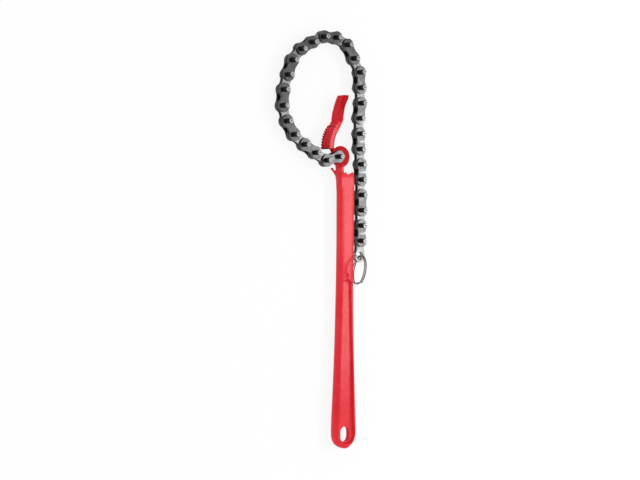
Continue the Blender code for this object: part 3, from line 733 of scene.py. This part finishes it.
def makeJaw():
    # The toothed strip keeps crisp edges, so it stays out of the handle's remesh
    size = jawSize
    half, pad, fill, worn = size["width"] / 2, size["pad"], size["backFill"], size["wornDepth"]
    jaw = traceOutline("jaw", jawPoints(), -half, half)
    leanSides(jaw)
    bevelEdges(jaw, size["edge"], segments=2, angle=28)
    lowStart, lowEnd, _, lowDepth = size["lowerBack"]
    upStart, upEnd, _, upDepth = size["upperBack"]
    lower, upper = size["lowerPad"], size["upperPad"]
    pastStart, pastEnd = size["upperWornPast"]
    wornStart, wornEnd = smoothEnd() + pastStart, size["upperTo"] - pastEnd
    inside, short = pad - size["fillOverlap"], pad - size["fillShort"]
    bands = (
        padBand("lowerWorn", lower, size["lowerWear"], worn, size["lowerFrom"], size["lowerTo"],
                *size["lowerWorn"]),
        padBand("upperWorn", upper, size["upperWear"], worn, wornStart, wornEnd, *size["upperWorn"]),
        padBand("lowerFill", lower, inside, short + lowDepth, lowStart, lowEnd, -fill, fill),
        padBand("upperFill", upper, inside, short + upDepth, upStart, upEnd, -fill, fill),
    )
    for band in bands:
        useModifier(jaw, "BOOLEAN", operation="UNION", solver="EXACT", object=band)
        bpy.data.objects.remove(band)
    keepFlats(jaw, 32)
    return jaw


def lift(piece, name, material, body, slotName, *nodes):
    # From the middle plane up to its place, then it rides and stands for its solids
    pick(piece)
    bpy.ops.transform.translate(value=(0, 0, midHeight))
    settle(name)
    giveMaterials(piece, material)
    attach(piece, body)
    if nodes:
        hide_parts(*nodes)


def makeHandle():
    shank = makeShank()
    cutPanels(shank)
    body = joinPieces("handleForging", shank, makeHead(), *makeTongue())
    useModifier(body, "REMESH", mode="VOXEL", voxel_size=handleSize["voxel"] * mm)
    useModifier(body, "SMOOTH", factor=0.5, iterations=handleSize["smoothing"])
    through = handleSize["cutHeight"]
    cut(body, addCylinder("anchorBore", headSize["anchorBore"], -through, through, 0, 0, sides=40))
    smoothBelow(body, 50)
    lift(body, "handleForging", paint["redPaint"], "handle", "red_paint", "handle")
    body.data.materials.append(paint["paintedShadeRed"])
    for face in body.data.polygons:  # the boss and the head above it get painted shade
        face.material_index = 1 if face.center.y > headSize["shadedAbove"] * mm else 0
    jaw = makeJaw()
    lift(jaw, "toothedJaw", paint["jawPaint"], "handle", "red_paint")
    paintJaw(jaw)
    print("handle made:", len(body.data.polygons), "faces; jaw:", len(jaw.data.polygons))


makeHandle()


# chain

chainSize = {
    "pitch": 15.875, "pinRadius": 2.5, "pinReach": 9.75, "pinChamfer": 0.45, "pinSides": 28,
    "dimpleRadius": 0.75, "dimpleEdge": 0.3, "dimpleDepth": 0.55,
    "brightEnd": 0.54,  # how far down from its end a pin keeps its lighter steel; below that, its side is painted shade
    # a plate's outline: its lobes' radius and the angle where they end, and its waist
    "lobe": 6.5, "lobeReach": 70, "lobeSteps": 14, "waist": 9.6, "waistSteps": 8,
    # heights above the middle plane
    "innerFace": 0.9, "innerOutside": 2.4, "outerFace": 2.7, "outerOutside": 4.2,
    "edge": 0.28, "ringHole": 4.1, "bushRadius": 3.7, "bushPast": 0.5, "bushShort": 0.05,
}


def platePoints():
    # Two round lobes and a waist that draws in between them
    pitch, lobe = chainSize["pitch"], chainSize["lobe"]
    reach = chainSize["lobeReach"]
    left = arcPoints(0, 0, lobe, reach, 360 - reach, chainSize["lobeSteps"])
    edgeX, edgeY = left[-1]
    middle = pitch / 2
    waist = []
    for i in range(1, chainSize["waistSteps"]):
        x = edgeX + (pitch - 2 * edgeX) * i / chainSize["waistSteps"]
        fall = 1 - ((x - middle) / (middle - edgeX)) ** 2
        waist.append((x, edgeY + (-chainSize["waist"] / 2 - edgeY) * fall))
    half = left + waist
    return half + [(pitch - x, -y) for x, y in half]


def makePlate(name, side, kind, hole=None):
    # side is 1 above the middle plane and -1 below it
    low, high = sorted((side * chainSize[kind + "Face"], side * chainSize[kind + "Outside"]))
    plate = traceOutline(name, platePoints(), low, high)
    if hole:
        cut(plate, addCylinder("ringHole", hole, low - past, high + past, chainSize["pitch"], 0, sides=48))
    bevelEdges(plate, chainSize["edge"], segments=3, angle=50)
    keepFlats(plate, 35)
    return plate


def paintPlate(plate, flatSteel):
    # The rim is painted darker than the flats, as shade between the plates
    giveMaterials(plate, flatSteel, steel["plateRimShade"])
    for side in plate.data.polygons:
        side.material_index = 1 if abs(side.normal.z) < 0.4 else 0


def paintPin(pin, middle):
    # Sides painted near-black as shade, with lighter steel ends; middle is the height of its centre in metres
    giveMaterials(pin, steel["pinSideShade"], steel["pinEnd"])
    brightFrom = (chainSize["pinReach"] - chainSize["brightEnd"]) * mm
    for face in pin.data.polygons:
        face.material_index = 1 if abs(face.center.z - middle) > brightFrom else 0


def makePin(name, x):
    # Chamfered at both ends, with a small centre mark in each end face
    size = chainSize
    reach = size["pinReach"]
    pin = addCylinder(name, size["pinRadius"], -reach, reach, x, 0, size["pinSides"])
    bevelEdges(pin, size["pinChamfer"], segments=3, angle=50)
    markInset = size["pinRadius"] - size["pinChamfer"] - size["dimpleRadius"]
    for side in (1, -1):
        # the end face is the one with many corners
        selectFaces(pin, lambda face: face.normal.z * side > 0.95 and len(face.vertices) > 8)
        bpy.ops.mesh.inset(thickness=markInset * mm)
        bpy.ops.mesh.inset(thickness=size["dimpleEdge"] * mm)
        bpy.ops.transform.translate(value=(0, 0, -side * size["dimpleDepth"] * mm))
        bpy.ops.object.mode_set(mode="OBJECT")
    keepFlats(pin, 40)
    paintPin(pin, 0)
    return pin


def makeBush(name, x):
    # Pressed into the lower inner plate, and just short of the upper one's outside
    size = chainSize
    bush = addCylinder(name, size["bushRadius"], -size["innerFace"] - size["bushPast"],
                       size["innerOutside"] - size["bushShort"], x, 0, size["pinSides"])
    smoothBelow(bush, 40)
    # the bush is painted dark as shade, like the plates' rims
    giveMaterials(bush, steel["plateRimShade"])
    return bush


def makeLinkParts():
    pitch = chainSize["pitch"]
    parts = {}
    for name, side, kind in (
            ("coverPlate", 1, "outer"), ("pinPlate", -1, "outer"), ("firstPinPlate", -1, "outer"),
            ("sidePlate", 1, "inner"), ("bushPlate", -1, "inner")):
        parts[name] = makePlate(name, side, kind)
        paintPlate(parts[name], steel[kind + "PlateSteel"])
    for name, rounds in (
            ("pinPlate", (makePin("leftPin", 0), makePin("rightPin", pitch))),
            ("firstPinPlate", (makePin("onlyPin", pitch),)),
            ("bushPlate", (makeBush("leftBush", 0), makeBush("rightBush", pitch)))):
        parts[name] = joinPieces(name, parts[name], *rounds)
    # the last link is lighter steel, with a hole for the ring instead of a bush
    for name, side in (("endSidePlate", 1), ("endBushPlate", -1)):
        parts[name] = makePlate(name, side, "inner", chainSize["ringHole"])
        giveMaterials(parts[name], steel["endLinkSteel"])
    parts["endBushPlate"] = joinPieces("endBushPlate", parts["endBushPlate"], makeBush("endBush", 0))
    return parts


def linkPlace(start, end):
    heading = atan2(end.y - start.y, end.x - start.x)
    return Matrix.Translation(start) @ Matrix.Rotation(heading, 4, "Z")


def placeCopy(source, name, place, body, node):
    piece = source.copy()
    piece.data = source.data.copy()
    bpy.context.scene.collection.objects.link(piece)
    piece.matrix_world = place
    pick(piece)
    settle(name)
    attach(piece, body)
    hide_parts(node)


def makeChain():
    axes = [Vector(joint["pos_m"]) for joint in frame["joints"]]  # one hinge per link, then the ring's
    parts = makeLinkParts()
    count = len(axes) - 1
    outerKinds = (("pinPlate", "pin_plate"), ("coverPlate", "cover_plate"))
    innerKinds = (("bushPlate", "bush_plate"), ("sidePlate", "side_plate"))
    endKinds = (("endBushPlate", "bush_plate"), ("endSidePlate", "side_plate"))
    for k in range(1, count + 1):
        body = f"link_{k:02d}"
        place = linkPlace(axes[k - 1], axes[k])
        if k == count:
            kinds, slotName = endKinds, "end_link_steel"
        elif k % 2:
            kinds, slotName = outerKinds, "outer_plate_steel"
        else:
            kinds, slotName = innerKinds, "inner_plate_steel"
        for kind, node in kinds:
            source = parts["firstPinPlate"] if k == 1 and kind == "pinPlate" else parts[kind]
            placeCopy(source, f"{kind}{k:02d}", place, body, f"{body}_{node}")
    for source in parts.values():
        bpy.data.objects.remove(source)
    anchor = makePin("anchorPinShown", 0)
    lift(anchor, "anchorPinShown", steel["pinSideShade"], "handle", "pin_steel", "anchor_pin")
    paintPin(anchor, midHeight)
    print("chain placed:", count, "links")
    return axes


axes = makeChain()


# split ring

ringSize = {
    "radius": 14.85, "wire": 0.65, "wireGap": 0.45, "turns": 2, "stepsPerTurn": 72,
    # leaning off the floor and swung from the last link's heading, in degrees
    "lean": 73.7, "swing": -6.4, "slide": 1.2, "clearance": 0.3,
}


def makeRing(axes):
    # A two-turn wire ring that stands beside the handle, through the end link's hole
    size = ringSize
    last = axes[-1] - axes[-2]
    heading = atan2(last.y, last.x) + radians(size["swing"])
    place = Matrix.Translation(axes[-1]) @ Matrix.Rotation(heading, 4, "Z")
    lean = radians(size["lean"])
    wirePitch = 2 * size["wire"] + size["wireGap"]
    towardHole = Vector((-1, 0, 0))
    upward = Vector((0, -cos(lean), sin(lean)))
    axis = Vector((0, sin(lean), cos(lean)))
    # high enough for its lowest point to clear the floor
    height = (size["radius"] + size["wire"]) * sin(lean) + (size["wire"] + wirePitch) * cos(lean)
    height += size["clearance"]
    holeAngle = -asin((height - midHeight / mm) / (size["radius"] * sin(lean)))
    centre = -size["radius"] * (cos(holeAngle) * towardHole + sin(holeAngle) * upward)
    centre.x += size["slide"]
    deselectAll()
    bpy.ops.curve.primitive_nurbs_path_add()
    ring = bpy.context.object
    ring.data.splines.clear()
    spline = ring.data.splines.new("POLY")
    steps = size["turns"] * size["stepsPerTurn"]
    spline.points.add(steps)
    for i, point in enumerate(spline.points):
        turned = i / size["stepsPerTurn"]
        angle = holeAngle + pi + 2 * pi * turned
        along = wirePitch * (turned - size["turns"] / 2)
        spot = centre + size["radius"] * (cos(angle) * towardHole + sin(angle) * upward) + along * axis
        point.co = (*(spot * mm), 1)
    ring.data.bevel_depth = size["wire"] * mm
    ring.data.bevel_resolution = 5
    ring.data.use_fill_caps = True
    ring.matrix_world = place
    pick(ring)
    bpy.ops.object.convert(target="MESH")
    ring = settle("splitRing")
    bpy.ops.object.mode_set(mode="EDIT")
    bpy.ops.mesh.select_all(action="SELECT")
    bpy.ops.mesh.remove_doubles(threshold=0.00001)
    bpy.ops.mesh.normals_make_consistent(inside=False)
    bpy.ops.object.mode_set(mode="OBJECT")
    smoothBelow(ring, 50)
    giveMaterials(ring, steel["ringNickel"])
    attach(ring, "split_ring")
    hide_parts("split_ring")
    print("split ring made, heading", round(degrees(heading), 1))


makeRing(axes)


# camera, floor and light

# places and sizes in metres, turns in degrees, the lens in mm
studio = {
    "cameraPlace": (-0.858, -0.0488, 1.111), "cameraTurn": (-1.504, -37.201, 0.0), "lens": 76.5,
    "floorSize": 9, "floorHeight": -0.0003, "floorColor": (0.92, 0.92, 0.92, 1), "glow": 0.87,
    # the key light's size is along the wrench, then across
    "keyPlace": (0.81, -0.085, 1.0), "keyAim": (0, -0.08, 0), "keySize": (0.62, 0.18), "keyPower": 3.9,
    "skyLevel": 0.91,
}


def seenRays(nodes, link):
    # 1 for what the camera sees, straight or in a reflection or through glass
    path = nodes.new("ShaderNodeLightPath")
    first, second = nodes.new("ShaderNodeMath"), nodes.new("ShaderNodeMath")
    first.operation = second.operation = "MAXIMUM"
    link(path.outputs["Is Camera Ray"], first.inputs[0])
    link(path.outputs["Is Glossy Ray"], first.inputs[1])
    link(first.outputs["Value"], second.inputs[0])
    link(path.outputs["Is Transmission Ray"], second.inputs[1])
    return second.outputs["Value"]


def whiteForCamera(material, shader, share):
    # What the camera and reflections see is partly plain white, and the shadow stays in the rest
    nodes = material.node_tree.nodes
    glow = addNode(material, "ShaderNodeEmission")
    glow.inputs["Strength"].default_value = 1
    level = addNode(material, "ShaderNodeMath")
    level.operation = "MULTIPLY"
    level.inputs[1].default_value = share
    mix = addNode(material, "ShaderNodeMixShader")
    wire(material, seenRays(nodes, material.node_tree.links.new), level.inputs[0])
    wire(material, level.outputs[0], mix.inputs["Fac"])
    wire(material, shader.outputs["BSDF"], mix.inputs[1])
    wire(material, glow.outputs["Emission"], mix.inputs[2])
    wire(material, mix.outputs["Shader"], nodes["Material Output"].inputs["Surface"])


def makeStudio():
    scene = bpy.context.scene
    scene.view_settings.view_transform = "Standard"
    deselectAll()
    bpy.ops.mesh.primitive_plane_add(size=studio["floorSize"], location=(0, 0, studio["floorHeight"]))
    floor = settle("studioFloor")
    material, shader = newMaterial("floorWhite", {"Base Color": studio["floorColor"], "Roughness": 0.9})
    whiteForCamera(material, shader, studio["glow"])
    giveMaterials(floor, material)
    deselectAll()
    bpy.ops.object.light_add(type="AREA", location=studio["keyPlace"])
    key = bpy.context.object
    key.name = "keyLight"
    key.data.shape = "RECTANGLE"
    key.data.size, key.data.size_y = studio["keySize"]
    key.data.energy = studio["keyPower"]
    aim = Vector(studio["keyAim"]) - key.location
    key.rotation_euler = aim.to_track_quat("-Z", "Y").to_euler()
    world = bpy.data.worlds.new("studioSky")
    world.use_nodes = True
    scene.world = world
    sky = world.node_tree.nodes["Background"]
    sky.inputs["Color"].default_value = (1, 1, 1, 1)
    sky.inputs["Strength"].default_value = studio["skyLevel"]
    backdrop = world.node_tree.nodes.new("ShaderNodeBackground")
    backdrop.inputs["Strength"].default_value = 1
    mix = world.node_tree.nodes.new("ShaderNodeMixShader")
    link = world.node_tree.links.new
    link(seenRays(world.node_tree.nodes, link), mix.inputs["Fac"])
    link(sky.outputs["Background"], mix.inputs[1])
    link(backdrop.outputs["Background"], mix.inputs[2])
    link(mix.outputs["Shader"], world.node_tree.nodes["World Output"].inputs["Surface"])
    deselectAll()
    bpy.ops.object.camera_add(
        location=studio["cameraPlace"], rotation=[radians(angle) for angle in studio["cameraTurn"]])
    camera = bpy.context.object
    camera.data.lens = studio["lens"]
    camera.data.sensor_width = 36
    camera.data.clip_start = 0.01
    scene.camera = camera
    print("studio ready")


makeStudio()
